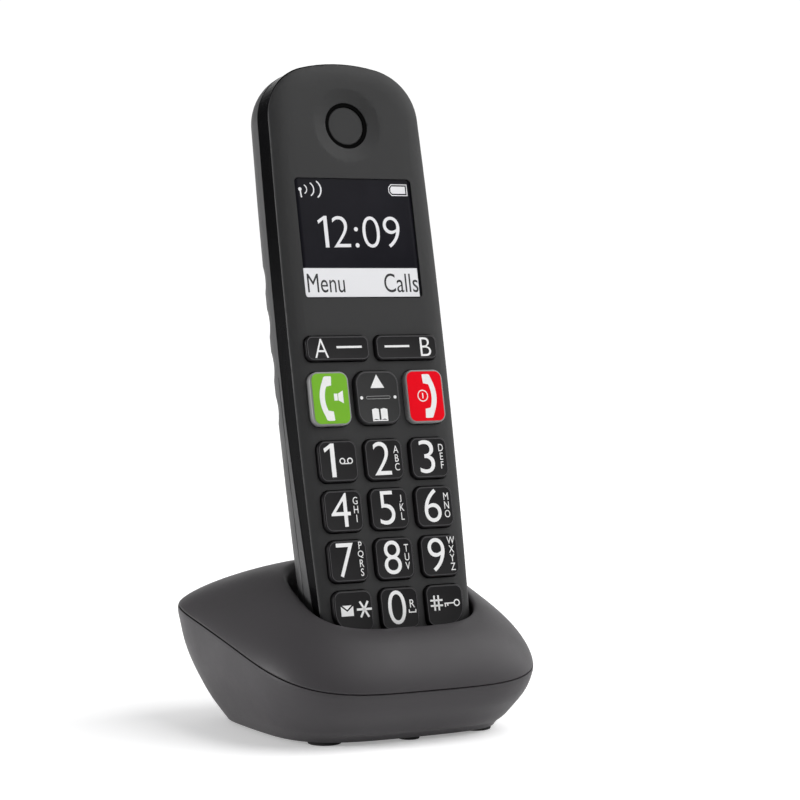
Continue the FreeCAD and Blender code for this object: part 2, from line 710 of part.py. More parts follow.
def under_seam(shift):
    """Everything below the seam surface, moved up by shift."""
    reach = 60.0
    ends = [Vector(-70, y, seam_height(y) + shift) for y in (-reach, 0.0, reach)]
    low_front, low_rear = Vector(-70, -reach, -20), Vector(-70, reach, -20)
    edges = [Part.Arc(*ends).toShape(), Part.makeLine(ends[2], low_rear), Part.makeLine(low_rear, low_front),
             Part.makeLine(low_front, ends[0])]
    return Part.Face(Part.Wire(edges)).extrude(Vector(140, 0, 0))


def well_prism(margin, low, high):
    """The cradle's opening in the handset frame, grown by margin."""
    half = size("well_half_width") + margin
    y0, y1 = size("well_front") - margin, size("well_back") + margin
    r = size("well_corner") + margin
    corners = ((-half + r, y0, half - r, y0), (half, y0 + r, half, y1 - r), (half - r, y1, -half + r, y1),
               (-half, y1 - r, -half, y0 + r))
    middles = ((half - r, y0 + r, 1, -1), (half - r, y1 - r, 1, 1), (-half + r, y1 - r, -1, 1),
               (-half + r, y0 + r, -1, -1))
    diagonal = r * math.sqrt(0.5)
    edges = []
    for index, (ax, ay, bx, by) in enumerate(corners):
        edges.append(Part.makeLine(Vector(ax, ay, low), Vector(bx, by, low)))
        nx, ny = corners[(index + 1) % 4][:2]
        cx, cy, sx, sy = middles[index]
        through = Vector(cx + sx * diagonal, cy + sy * diagonal, low)
        edges.append(Part.Arc(Vector(bx, by, low), through, Vector(nx, ny, low)).toShape())
    prism = Part.Face(Part.Wire(edges)).extrude(Vector(0, 0, high - low))
    prism.Placement = dock_placement()
    return prism


def docked(shape):
    """A shape given in the handset frame, moved to where the docked handset stands."""
    moved = shape.copy()
    moved.Placement = dock_placement().multiply(moved.Placement)
    return moved


BASE_SCREWS = ((-15.2, -20.0), (15.2, -20.0), (-25.5, 8.0), (25.5, 8.0))


def build_base_shells():
    outer, inner = base_solid(0.0), base_solid(size("base_wall"))
    gap = size("seam_gap")
    floor = -size("well_clearance")
    tub = well_prism(1.8, floor - 1.8, 90).common(outer)
    cavity = well_prism(0.0, floor, 120)
    bosses = [rod_z(3.2, x, y, 9.0, 60) for x, y in BASE_SCREWS]
    skin = outer.cut(inner)
    hangers = Part.Compound([b.common(outer) for b in bosses])
    top = skin.cut(under_seam(gap / 2)).fuse(tub).fuse(hangers).cut(cavity)
    cuts = []
    for x, y in BASE_SCREWS:
        cuts.append(rod_z(0.95, x, y, 0, 15.5 if y < 0 else 22))
    for sign in (-1, 1):
        x, y = sign * size("contact_x"), size("contact_y")
        cuts.append(docked(box(x - 1.8, x + 1.8, y - 3.9, y + 3.9, -6, 3)))
    top = top.cut(Part.Compound(cuts))
    top = max(top.Solids, key=lambda s: s.Volume)
    solid_part("base_top_shell", top, False)

    lower = skin.common(under_seam(-gap / 2))
    posts = [rod_z(3.4, x, y, 1.5, 8.8) for x, y in BASE_SCREWS]
    lower = lower.fuse(posts)
    cuts = []
    for x, y in BASE_SCREWS:
        cuts.append(rod_z(size("screw_head") + 0.3, x, y, -1, 5.0))
        cuts.append(rod_z(size("screw_shaft") + 0.15, x, y, -1, 12))
    for x, y in foot_places():
        cuts.append(rod_z(foot_radius(y, x) + 0.15, x, y, -1, size("floor_height") + size("foot_recess")))
    cuts.append(box(7.4, 20.6, 20, 60, 6.45, 17.4))
    cuts.append(rod_y(4.2, -14, 20, 60, 12.5))
    cuts.append(rounded_block(-6.3, 6.3, 20, 60, 22.2, 27.8, 2.7))
    lower = lower.cut(Part.Compound(cuts))
    lower = max(lower.Solids, key=lambda s: s.Volume)
    solid_part("base_bottom_shell", lower, False)


def foot_places():
    x = size("foot_x")
    return ((-x, size("foot_front_y")), (x, size("foot_front_y")), (-x, size("foot_rear_y")), (x, size("foot_rear_y")),
            (0.0, -27.5))


def foot_radius(y, x):
    return size("foot_small") if x == 0 else size("foot_radius")


def build_feet():
    top = size("floor_height") + size("foot_recess") - 0.05
    feet = []
    for x, y in foot_places():
        pad_shape = rod_z(foot_radius(y, x), x, y, 0, top)
        low_edge = [e for e in pad_shape.Edges if abs(e.CenterOfMass.z) < 0.01]
        feet.append(pad_shape.makeFillet(0.4, low_edge))
    solid_part("rubber_feet", Part.Compound(feet), False)


def build_base_screws():
    screws = []
    for x, y in BASE_SCREWS:
        head = rod_z(size("screw_head"), x, y, 3.4, 4.95)
        shaft = rod_z(0.9, x, y, 4.8, 14.0)
        slot = fused([box(x - 1.3, x + 1.3, y - 0.28, y + 0.28, 3, 4.2), box(x - 0.28, x + 0.28, y - 1.3, y + 1.3, 3, 4.2)])
        screws.append(head.fuse(shaft).removeSplitter().cut(slot))
    solid_part("base_screws", Part.Compound(screws), False)


def build_base_inside():
    pad_block("base_board", "21", "17", "1.5", "1.6", Placement(Vector(0, 10, 5.0), Rotation()), "XY_Plane")
    can = box(-17, 3, -4, 14, 6.65, 8.9).cut(box(-16.7, 2.7, -3.7, 13.7, 6, 8.6))
    solid_part("base_rf_shield", can, False)
    legs = []
    for x, y in ((14.5, -1.0), (14.5, 12.0)):
        legs.append(fused([box(x - 0.25, x + 0.25, y - 5, y + 5, 8.2, 9.7), box(x - 0.25, x + 0.25, y - 5, y - 4, 6.65, 9)]))
    solid_part("base_antennas", Part.Compound(legs), False)
    # line socket: its mouth is a stepped slot for a small telephone plug
    socket = box(7.6, 20.4, 21.5, 34.5, 6.65, 17.2)
    socket = socket.cut(box(9.0, 19.0, 24, 40, 9.0, 15.8))
    pins = [box(14 - 1.53 + 1.02 * i - 0.2, 14 - 1.53 + 1.02 * i + 0.2, 24, 30, 14.9, 15.3) for i in range(4)]
    solid_part("line_socket", socket, False)
    solid_part("line_socket_pins", Part.Compound(pins), False)
    inlet = rod_y(4.0, -14, 21.5, 35.2, 12.5).cut(rod_y(2.8, -14, 26.5, 40, 12.5))
    block = box(-18.4, -9.6, 17.5, 23.0, 6.7, 17.0)
    solid_part("dc_inlet", inlet.fuse(block).removeSplitter(), False)
    pin = doc.addObject("Part::Cylinder", "dc_inlet_pin")
    pin.Radius, pin.Height = 0.95, 8.4
    keep(pin, "dc_inlet_pin", Placement(Vector(-14, 26.5, 12.5), Rotation(Vector(1, 0, 0), -90)))


def build_paging_key():
    body = doc.addObject("PartDesign::Body", "paging_key")
    corners = ("2.2",) * 4
    flange = rounded_sketch(body, "paging_flange_outline", "XZ_Plane", "6.9", "3.3", ("2.6",) * 4)
    pad(body, flange, "paging_flange", "1.0", True)
    cap = rounded_sketch(body, "paging_cap_outline", "XZ_Plane", "6.0", "2.5", corners)
    cap_pad = pad(body, cap, "paging_cap", "5.2", True)
    doc.recompute()
    faces = cap_pad.Shape.Faces
    back = max(range(len(faces)), key=lambda i: faces[i].CenterOfMass.y)
    edge = body.newObject("PartDesign::Fillet", "paging_edge")
    edge.Base = (cap_pad, [f"Face{back + 1}"])
    edge.Radius = 0.5
    body.Tip = edge
    keep(body, "paging_key", Placement(Vector(0, 36.6, 25.0), Rotation()))


def build_charge_springs():
    """Two sprung tongues of strip metal: a bowed top that meets the handset, and two legs."""
    y, width, thick = size("contact_y"), size("contact_width"), 0.4
    crown, bow = 0.62, 3.0
    for sign, label in ((-1, "charge_spring_left"), (1, "charge_spring_right")):
        x = sign * size("contact_x")
        def arch(radius):
            half_round = rod_x(radius, x - width / 2, x + width / 2, y, crown - bow)
            legs = box(x - width / 2, x + width / 2, y - radius, y + radius, -6.4, crown - bow)
            return half_round.fuse(legs)
        tongue = arch(bow).cut(arch(bow - thick)).cut(box(x - 5, x + 5, y - 9, y + 9, -9, -6.0))
        foot = box(x - width / 2, x + width / 2, y - bow, y - bow + 1.8, -6.4, -6.0)
        solid_part(label, tongue.fuse(foot).removeSplitter())


def rod_x(radius, x0, x1, y, z):
    return Part.makeCylinder(radius, x1 - x0, Vector(x0, y, z), Vector(1, 0, 0))


def build_contact_carrier():
    y = size("contact_y")
    shape = box(-11.6, 11.6, y - 5.2, y + 5.2, -8.6, -2.2)
    cuts = []
    for sign in (-1, 1):
        x = sign * size("contact_x")
        cuts.append(box(x - 1.8, x + 1.8, y - 3.7, y + 3.7, -7.5, 0))
    solid_part("contact_carrier", shape.cut(Part.Compound(cuts)))


def main():
    build_handset_shells()
    build_keys()
    build_display()
    build_earpiece()
    build_keypad_mat()
    build_handset_board()
    build_handset_sound()
    build_cells()
    build_handset_screws()
    build_base_shells()
    build_feet()
    build_base_screws()
    build_base_inside()
    build_paging_key()
    build_charge_springs()
    build_contact_carrier()
    doc.recompute()
    os.makedirs(OUT, exist_ok=True)
    for stale in os.listdir(OUT):
        os.remove(os.path.join(OUT, stale))
    bad = [o.Label for o in doc.Objects if "Invalid" in o.State or "Error" in o.State]
    bad += [o.Label for o in made if o.Shape.isNull() or not o.Shape.isValid()]
    if bad:
        raise RuntimeError(f"objects failed: {bad}")
    for item in made:
        item.Shape.exportStep(os.path.join(OUT, item.Label + ".step"))
    print(len(made), "sub-parts")


main()
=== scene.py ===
"""Cordless phone standing in its charging base: surfaces, printing, light and camera."""

import json
import math

import bmesh
import bpy
from mathutils import Matrix, Vector


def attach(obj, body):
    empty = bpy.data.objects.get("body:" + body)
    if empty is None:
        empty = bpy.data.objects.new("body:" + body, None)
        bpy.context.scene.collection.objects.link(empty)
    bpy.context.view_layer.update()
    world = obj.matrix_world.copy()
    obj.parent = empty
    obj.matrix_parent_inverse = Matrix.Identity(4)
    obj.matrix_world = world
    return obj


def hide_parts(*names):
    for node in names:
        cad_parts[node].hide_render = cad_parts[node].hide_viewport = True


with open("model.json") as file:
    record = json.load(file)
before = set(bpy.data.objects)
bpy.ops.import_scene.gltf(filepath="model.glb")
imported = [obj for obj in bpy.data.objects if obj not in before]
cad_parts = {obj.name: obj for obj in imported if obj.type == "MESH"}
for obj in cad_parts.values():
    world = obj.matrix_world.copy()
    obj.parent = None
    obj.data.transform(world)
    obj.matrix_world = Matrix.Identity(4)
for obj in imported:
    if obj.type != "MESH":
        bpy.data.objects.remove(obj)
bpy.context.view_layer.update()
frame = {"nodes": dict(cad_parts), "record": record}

# Lengths are in millimetres and are multiplied by MM where they enter a mesh.
MM = 0.001
LEAN = math.radians(12.44)
# where the bottom edge of the docked handset's face stands: back from the base's middle, and up
DOCK_Y, DOCK_Z = -26.47, 17.87
DOCK = Matrix.Translation((0, DOCK_Y * MM, DOCK_Z * MM)) @ Matrix.Rotation(-LEAN, 4, "X")
# a flat drawing in millimetres, x across and y up the handset, laid on the plane of the key tops
FACE = DOCK @ Matrix(((MM, 0, 0, 0), (0, 0, -MM, 0), (0, MM, 0, 0), (0, 0, 0, 1)))


# ------------------------------------------------------------------ shader writing

class Signal:
    """A node's output that takes part in sums."""

    def __init__(self, finish, socket):
        self.finish = finish
        self.socket = socket

    def math(self, operation, first, second):
        return self.finish.node("ShaderNodeMath", {"operation": operation}, {0: first, 1: second})

    def __add__(self, other):
        return self.math("ADD", self, other)

    def __mul__(self, other):
        return self.math("MULTIPLY", self, other)

    def __sub__(self, other):
        return self.math("SUBTRACT", self, other)

    def __rsub__(self, other):
        return self.math("SUBTRACT", other, self)

    __radd__ = __add__
    __rmul__ = __mul__


class Bench:
    """A node tree, and the one way that nodes are added to it."""

    def __init__(self, tree):
        self.tree = tree

    def node(self, kind, settings=None, values=None, out=0):
        made = self.tree.nodes.new(kind)
        for key, value in (settings or {}).items():
            if key == "stops":
                ramp = made.color_ramp
                while len(ramp.elements) < len(value):
                    ramp.elements.new(0.5)
                for element, (position, shade) in zip(ramp.elements, value):
                    element.position = position
                    element.color = shade if hasattr(shade, "__len__") else (shade, shade, shade, 1)
            else:
                setattr(made, key, value)
        for key, value in (values or {}).items():
            if isinstance(value, Signal):
                self.tree.links.new(value.socket, made.inputs[key])
            else:
                made.inputs[key].default_value = value
        return Signal(self, made.outputs[out])


class Finish(Bench):
    """One material, with its shader and short ways to add patterns to it."""

    def __init__(self, name, slot, colour, roughness, **fixed):
        self.material = bpy.data.materials.new(name)
        self.material.use_nodes = True
        super().__init__(self.material.node_tree)
        self.shader = self.tree.nodes["Principled BSDF"]
        self.slot = slot
        self.place = self.node("ShaderNodeTexCoord", out="Object")
        self.shader.inputs["Base Color"].default_value = (*colour, 1)
        self.shader.inputs["Roughness"].default_value = roughness
        for key, value in fixed.items():
            self.shader.inputs[key.replace("_", " ")].default_value = value

    def noise(self, scale, detail=2.0, roughness=0.5, stretch=None):
        where = self.place
        if stretch:
            where = self.node("ShaderNodeMapping", None, {"Vector": where, "Scale": stretch})
        return self.node("ShaderNodeTexNoise", None,
                         {"Vector": where, "Scale": scale, "Detail": detail, "Roughness": roughness})

    def cells(self, scale):
        return self.node("ShaderNodeTexVoronoi", {"feature": "F1"}, {"Vector": self.place, "Scale": scale},
                         "Distance")

    def ramp(self, signal, *stops):
        return self.node("ShaderNodeValToRGB", {"stops": stops}, {"Fac": signal})

    def blend(self, mask, low, high):
        low = low if isinstance(low, Signal) else (*low, 1)
        high = high if isinstance(high, Signal) else (*high, 1)
        return self.node("ShaderNodeMix", {"data_type": "RGBA"}, {"Factor": mask, 6: low, 7: high}, 2)

    def drive(self, socket, signal):
        self.tree.links.new(signal.socket, self.shader.inputs[socket])

    def grain(self, height, strength, depth):
        """Bump of the given depth in millimetres."""
        bump = self.node("ShaderNodeBump", None, {"Height": height, "Strength": strength, "Distance": depth * MM})
        self.drive("Normal", bump)


def moulded(name, slot, colour, roughness, texture=1700, depth=0.03, spread=0.12, **fixed):
    """Injection-moulded plastic: eroded tool texture, faint flow clouds, handling sheen."""
    f = Finish(name, slot, colour, roughness, **fixed)
    clouds = f.noise(22, 3, 0.6)
    speck = f.noise(texture, 2, 0.55)
    light = [min(1, c * (1 + spread)) for c in colour]
    dark = [c * (1 - spread) for c in colour]
    tone = f.blend(clouds * 0.7 + speck * 0.3, dark, light)
    f.drive("Base Color", tone)
    handled = f.ramp(f.noise(48, 4, 0.65), (0.35, roughness - 0.05), (0.7, roughness + 0.05))
    f.drive("Roughness", handled + (speck - 0.5) * 0.12)
    pits = f.cells(texture * 0.75)
    f.grain(speck * 0.65 + pits * 0.35, 0.5, depth)
    return f


def polished(name, slot, colour, roughness, **fixed):
    """High-gloss plastic with faint hairline scratches and dust haze."""
    f = Finish(name, slot, colour, roughness, **fixed)
    haze = f.ramp(f.noise(60, 4, 0.6), (0.45, 0.0), (0.8, 1.0))
    lines = f.ramp(f.noise(900, 1, 0.4, stretch=(1, 0.15, 0.04)), (0.62, 0.0), (0.66, 1.0))
    f.drive("Roughness", haze * 0.05 + lines * 0.08 + roughness)
    f.drive("Base Color", f.blend(haze * 0.5, colour, [c * 1.5 + 0.002 for c in colour]))
    f.grain(f.noise(35, 1) + lines * 0.04, 0.15, 0.04)
    return f


def sheet_metal(name, slot, colour, roughness, grain=(1, 12, 1)):
    """Rolled or plated metal with a fine directional grain and slight tarnish."""
    f = Finish(name, slot, colour, roughness, Metallic=1.0)
    rolled = f.noise(700, 3, 0.6, stretch=grain)
    tarnish = f.ramp(f.noise(90, 4, 0.7), (0.4, 0.0), (0.75, 1.0))
    f.drive("Base Color", f.blend(tarnish, colour, [c * 0.78 for c in colour]))
    f.drive("Roughness", rolled * 0.16 + tarnish * 0.12 + roughness)
    f.grain(rolled, 0.3, 0.01)
    return f


def rubbery(name, slot, colour):
    """Soft rubber: matt, slightly dusty, with an orange-peel skin."""
    f = Finish(name, slot, colour, 0.78, Specular_IOR_Level=0.35)
    dust = f.ramp(f.noise(160, 4, 0.7), (0.5, 0.0), (0.85, 1.0))
    f.drive("Base Color", f.blend(dust * 0.5, colour, [c + 0.04 for c in colour]))
    f.drive("Roughness", 0.86 - dust * 0.12)
    f.grain(f.noise(900, 2), 0.4, 0.03)
    return f


def circuit(name, slot):
    """Green solder mask over copper tracks and bare tinned pads."""
    f = Finish(name, slot, (0.015, 0.12, 0.04), 0.4, Specular_IOR_Level=0.5)
    tracks = f.ramp(f.node("ShaderNodeTexBrick", {"offset": 0.35}, {
        "Vector": f.place, "Scale": 260.0, "Mortar Size": 0.06, "Color1": (0, 0, 0, 1), "Color2": (0.2, 0.2, 0.2, 1),
        "Mortar": (1, 1, 1, 1)}), (0.3, 0.0), (0.6, 1.0))
    pads = f.ramp(f.cells(420), (0.1, 1.0), (0.16, 0.0))
    mask = f.blend(tracks, (0.012, 0.1, 0.03), (0.03, 0.2, 0.06))
    f.drive("Base Color", f.blend(pads, mask, (0.7, 0.68, 0.62)))
    f.drive("Metallic", pads * 0.9)
    f.grain(tracks * 0.5 + pads * 0.5, 0.3, 0.03)
    return f


def ink(name, slot, colour, roughness=0.55, **fixed):
    """Screen-printed ink, a little uneven in cover."""
    f = Finish(name, slot, colour, roughness, **fixed)
    cover = f.ramp(f.noise(1400, 3, 0.6), (0.25, 0.0), (0.6, 1.0))
    f.drive("Base Color", f.blend(cover, [c * 0.93 for c in colour], colour))
    f.drive("Roughness", roughness + cover * 0.08)
    f.grain(f.noise(2600, 2), 0.25, 0.008)
    return f


def lit_segment(name, slot, colour, glow):
    """Display segments, lit from behind through a fine dot mesh."""
    f = Finish(name, slot, colour, 0.3, Emission_Strength=glow)
    mesh = f.node("ShaderNodeTexChecker", None, {"Vector": f.place, "Scale": 5200.0}, 1)
    shade = f.blend(mesh, [c * 0.96 for c in colour], colour)
    f.drive("Base Color", shade)
    f.drive("Emission Color", shade)
    return f


SHELL = moulded("charcoal_handset_plastic", "shell_charcoal", (0.028, 0.028, 0.0285), 0.5, texture=2100, depth=0.02,
                Specular_IOR_Level=0.2)
BACK = moulded("charcoal_back_plastic", "shell_charcoal", (0.042, 0.042, 0.043), 0.52, texture=1900, depth=0.025)
STAND = moulded("charcoal_base_plastic", "base_charcoal", (0.043, 0.040, 0.043), 0.5, texture=1800, depth=0.022,
                Specular_IOR_Level=0.28)
KEY = moulded("satin_black_key", "key_black", (0.0085, 0.0080, 0.0088), 0.4, texture=2600, depth=0.012,
              Specular_IOR_Level=0.16)
NAV = moulded("satin_navigation_key", "key_black", (0.016, 0.016, 0.0165), 0.42, texture=2600, depth=0.012,
              Specular_IOR_Level=0.25)
# a lighter plastic for the thin strip round the key tops: a painted highlight of the light that the small bevel catches
PAINTED_EDGE_LIGHT = moulded("painted_key_edge_highlight", "key_black", (0.060, 0.058, 0.062), 0.34, texture=2600, depth=0.01,
               Specular_IOR_Level=0.3)
RIM = moulded("smoky_clear_key_rim", "key_black", (0.20, 0.20, 0.20), 0.32, texture=1500, depth=0.01)
GREEN = moulded("green_key_face", "key_green", (0.150, 0.400, 0.008), 0.42, texture=2600, depth=0.01, spread=0.05,
                Specular_IOR_Level=0.3)
RED = moulded("red_key_face", "key_red", (0.760, 0.001, 0.010), 0.42, texture=2600, depth=0.01, spread=0.05,
              Specular_IOR_Level=0.05)
BAND = polished("gloss_black_band", "band_gloss_black", (0.003, 0.003, 0.0033), 0.2, Specular_IOR_Level=0.012)
GLASS = polished("dark_display_window", "window_dark", (0.0085, 0.0082, 0.0115), 0.3, Specular_IOR_Level=0.05)
BLACK = moulded("moulded_black_plastic", "black_plastic", (0.012, 0.012, 0.012), 0.5)
WHITE = moulded("white_light_guide", "white_plastic", (0.75, 0.75, 0.72), 0.35)
RUBBER = rubbery("soft_black_rubber", "rubber_black", (0.012, 0.012, 0.012))
SILICONE = rubbery("grey_silicone", "silicone_grey", (0.2, 0.2, 0.2))
# the earpiece slot's ring: acoustic felt, made near black and hardly glossy as painted shade of the deep slot
FELT_AND_SHADE = ink("acoustic_felt_and_painted_shade", "rubber_black", (0.0015, 0.0015, 0.0015), 0.85, Specular_IOR_Level=0.04)
BOARD = circuit("green_circuit_board", "board_green")
TIN = sheet_metal("tinned_sheet", "tin", (0.62, 0.62, 0.60), 0.3)
NICKEL = sheet_metal("nickel_plate", "nickel", (0.72, 0.69, 0.62), 0.2)
STEEL = sheet_metal("zinc_plated_screw", "screw_steel", (0.42, 0.42, 0.43), 0.3)
CELL = polished("sleeved_cell_can", "cell_can", (0.28, 0.30, 0.30), 0.3)
PANEL = polished("liquid_crystal_panel", "display_panel", (0.03, 0.03, 0.035), 0.2)
LEGEND = ink("white_legend_ink", "key_black", (0.80, 0.80, 0.80))
DARK_INK = ink("dark_display_ink", "window_dark", (0.008, 0.008, 0.010))
SEGMENT = lit_segment("lit_display_segment", "window_dark", (0.72, 0.72, 0.74), 0.05)

NODE_FINISH = {
    SHELL: ("front_shell", "earpiece_cap"),
    BACK: ("rear_shell", "battery_door"),
    STAND: ("base_top_shell", "base_bottom_shell"),
    BAND: ("accent_band",),
    GLASS: ("display_window",),
    PANEL: ("lcd_panel",),
    WHITE: ("backlight_plate",),
    RUBBER: ("rubber_feet",),
    SILICONE: ("keypad_mat",),
    BOARD: ("base_board", "handset_board"),
    TIN: ("base_rf_shield", "handset_rf_shield", "base_antennas", "handset_antenna"),
    NICKEL: ("handset_charge_contacts", "charge_spring_left", "charge_spring_right", "battery_contacts",
             "line_socket_pins", "dc_inlet_pin"),
    BLACK: ("line_socket", "dc_inlet", "contact_carrier", "paging_key", "earpiece_capsule", "ringer_speaker",
            "microphone"),
    CELL: ("battery_cells",),
    STEEL: ("base_screws", "handset_screws"),
}


# ------------------------------------------------------------------ making pieces

def body_of_node(node):
    for body, nodes in frame["record"]["behaviour"]["bodies"].items():
        if node in nodes:
            return body
    raise KeyError(node)


def finished(name, bm, finish, body, into=None, replaces=(), sharp=35, second=None):
    """Turns a bmesh into a piece: in its place, shaded, and riding on its body."""
    if into is not None:
        bmesh.ops.transform(bm, matrix=into, verts=bm.verts)
    mesh = bpy.data.meshes.new(name)
    bm.to_mesh(mesh)
    bm.free()
    mesh.shade_smooth()
    mesh.set_sharp_from_angle(angle=math.radians(sharp))
    mesh.materials.append(finish.material)
    if second:
        mesh.materials.append(second.material)
    piece = bpy.data.objects.new(name, mesh)
    bpy.context.scene.collection.objects.link(piece)
    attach(piece, body)
    if replaces:
        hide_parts(*replaces)
    return piece


def refined(node, finish, sharp=28, grid=None):
    """A smooth-shaded piece with the exact form of a node. A grid in millimetres cuts up its long faces."""
    bm = bmesh.new()
    bm.from_mesh(frame["nodes"][node].data)
    bmesh.ops.remove_doubles(bm, verts=bm.verts, dist=0.002 * MM)
    if grid:
        for axis, start, stop in (((1, 0, 0), -24, 24), ((0, 0, 1), 2, 168)):
            normal = DOCK.to_3x3() @ Vector(axis)
            for step in range(int((stop - start) / grid) + 1):
                point = DOCK @ (Vector(axis) * ((start + step * grid) * MM))
                bmesh.ops.bisect_plane(bm, geom=list(bm.verts) + list(bm.edges) + list(bm.faces), dist=1e-7,
                                       plane_co=point, plane_no=normal)
        bmesh.ops.triangulate(bm, faces=[f for f in bm.faces if len(f.verts) > 4])
    piece = finished(node + "_skin", bm, finish, body_of_node(node), replaces=(node,), sharp=sharp)
    flat = piece.modifiers.new("flat_faces_stay_flat", "WEIGHTED_NORMAL")
    flat.keep_sharp = True
    flat.weight = 90
    return piece


# ------------------------------------------------------------------ flat drawings, in millimetres

def draw_bar(bm, x, y, width, height, turn=0.0):
    into = Matrix.Translation((x, y, 0)) @ Matrix.Rotation(math.radians(turn), 4, "Z") @ Matrix.Diagonal(
        (width, height, 1, 1))
    bmesh.ops.create_grid(bm, x_segments=1, y_segments=1, size=0.5, matrix=into)


def draw_disc(bm, x, y, radius):
    bmesh.ops.create_circle(bm, cap_ends=True, segments=24, radius=radius, matrix=Matrix.Translation((x, y, 0)))


def draw_arc(bm, x, y, radius, stroke, start, sweep, steps=24):
    """A curved stroke: a short edge spun about a centre."""
    turn = Matrix.Rotation(math.radians(start), 4, "Z")
    near = bm.verts.new(Vector((x, y, 0)) + turn @ Vector((radius - stroke / 2, 0, 0)))
    far = bm.verts.new(Vector((x, y, 0)) + turn @ Vector((radius + stroke / 2, 0, 0)))
    edge = bm.edges.new((near, far))
    bmesh.ops.spin(bm, geom=[near, far, edge], cent=(x, y, 0), axis=(0, 0, 1), angle=math.radians(sweep), steps=steps,
                   use_merge=abs(sweep) >= 360)


def draw_shape(bm, *corners):
    bm.faces.new([bm.verts.new((x, y, 0)) for x, y in corners])


CAP_SHARE = 0.729    # height of a capital, as a share of the type size


def draw_text(bm, text, x, y, height, width=None, side="CENTER", stretch=0.86, weight=0.0, fit=False):
    """Letters of a given cap height, centred on y. With fit, the drawing itself gets that height."""
    curve = bpy.data.curves.new("lettering", "FONT")
    curve.body = text
    curve.size = height / CAP_SHARE
    curve.align_x = side
    curve.offset = weight
    curve.resolution_u = 6
    letters = bpy.data.objects.new("lettering", curve)
    bpy.context.scene.collection.objects.link(letters)
    mesh = bpy.data.meshes.new_from_object(letters.evaluated_get(bpy.context.evaluated_depsgraph_get()))
    lows = [min(v.co[axis] for v in mesh.vertices) for axis in (0, 1)]
    highs = [max(v.co[axis] for v in mesh.vertices) for axis in (0, 1)]
    if width:
        stretch = width / (highs[0] - lows[0])
    rise, tall = -height / 2, 1.0
    if fit:
        tall = height / (highs[1] - lows[1])
        rise = -height / 2 - lows[1] * tall
    mesh.transform(Matrix.Translation((x, y + rise, 0)) @ Matrix.Diagonal((stretch, tall, 1, 1)))
    bm.from_mesh(mesh)
    bpy.data.objects.remove(letters)
    bpy.data.curves.remove(curve)
    bpy.data.meshes.remove(mesh)


def draw_one(bm, x, y, height, stroke):
    """The figure one: an upright stem with a slanting flag. Its stem is centred on x."""
    top, low, half, reach = y + height / 2, y - height / 2, stroke / 2, height * 0.21
    draw_shape(bm, (x - half, low), (x + half, low), (x + half, top), (x - half * 0.5, top),
               (x - half - reach, top - reach * 0.72), (x - half - reach * 0.86, top - reach * 0.72 - stroke * 0.78),
               (x - half, top - stroke * 0.95))


def printed(name, bm, x, z, body, finish=LEGEND, lift=0.0, thick=0.025):
    """A flat drawing raised to the thickness of ink and laid on the handset's face, lift above the key tops."""
    bmesh.ops.remove_doubles(bm, verts=bm.verts, dist=0.0005)
    bmesh.ops.recalc_face_normals(bm, faces=bm.faces)
    down = [f for f in bm.faces if f.normal.z < 0]
    bmesh.ops.reverse_faces(bm, faces=down)
    raised = bmesh.ops.extrude_face_region(bm, geom=list(bm.faces), use_keep_orig=True)
    moved = [v for v in raised["geom"] if isinstance(v, bmesh.types.BMVert)]
    bmesh.ops.translate(bm, verts=moved, vec=(0, 0, thick))
    bmesh.ops.recalc_face_normals(bm, faces=bm.faces)
    return finished(name, bm, finish, body, FACE @ Matrix.Translation((x, z, lift)), sharp=30)


# ------------------------------------------------------------------ keys

def key_block(width, height, corners, depth, edge, crown=0.0):
    """A key in its own drawing frame: rounded outline, bevelled top edge, slightly crowned or dished top."""
    bm = bmesh.new()
    bmesh.ops.create_grid(bm, x_segments=1, y_segments=1, size=0.5, matrix=Matrix.Diagonal((width, height, 1, 1)))
    places = {(-1, -1): corners[0], (1, -1): corners[1], (1, 1): corners[2], (-1, 1): corners[3]}
    for corner in list(bm.verts):
        radius = places[(int(math.copysign(1, corner.co.x)), int(math.copysign(1, corner.co.y)))]
        bmesh.ops.bevel(bm, geom=[corner], offset=radius, offset_type="OFFSET", affect="VERTICES", segments=10,
                        profile=0.5, material=-1, clamp_overlap=True)
    top = bm.faces[:]
    lower = bmesh.ops.extrude_face_region(bm, geom=top, use_keep_orig=True)
    sunk = [v for v in lower["geom"] if isinstance(v, bmesh.types.BMVert)]
    bmesh.ops.translate(bm, verts=sunk, vec=(0, 0, -depth))
    bmesh.ops.recalc_face_normals(bm, faces=bm.faces)
    rim = [e for e in bm.edges if all(abs(v.co.z) < 1e-6 for v in e.verts)]
    bmesh.ops.bevel(bm, geom=rim, offset=edge, offset_type="OFFSET", affect="EDGES", segments=4, profile=0.5,
                    material=-1, clamp_overlap=True)
    face = [f for f in bm.faces if f.normal.z > 0.99 and f.calc_area() > width * height * 0.5]
    # the thin strip round the top face takes the second finish; where that finish is lighter, the strip is a painted
    # highlight of the bevel
    highlight_strip = bmesh.ops.inset_region(bm, faces=face, thickness=0.16, depth=crown, use_even_offset=True)["faces"]
    for strip in highlight_strip:
        strip.material_index = 1
    return bm


KEY_DEPTH = 2.9
KEY_EDGE = 0.34
DISHED = -0.02
PITCH_ACROSS, PITCH_UP, PAD_MIDDLE = 14.0, 13.44, 37.0
CALL_ROW, SOFT_ROW = 74.1, 87.9
ROUND, CUT = 2.3, 5.4    # corner radii of a number key: the usual one, and the outer one of the lowest row


def cell_at(column, row):
    """Middle of a number key, in the handset frame."""
    return (column - 1) * PITCH_ACROSS, PAD_MIDDLE + (1.5 - row) * PITCH_UP


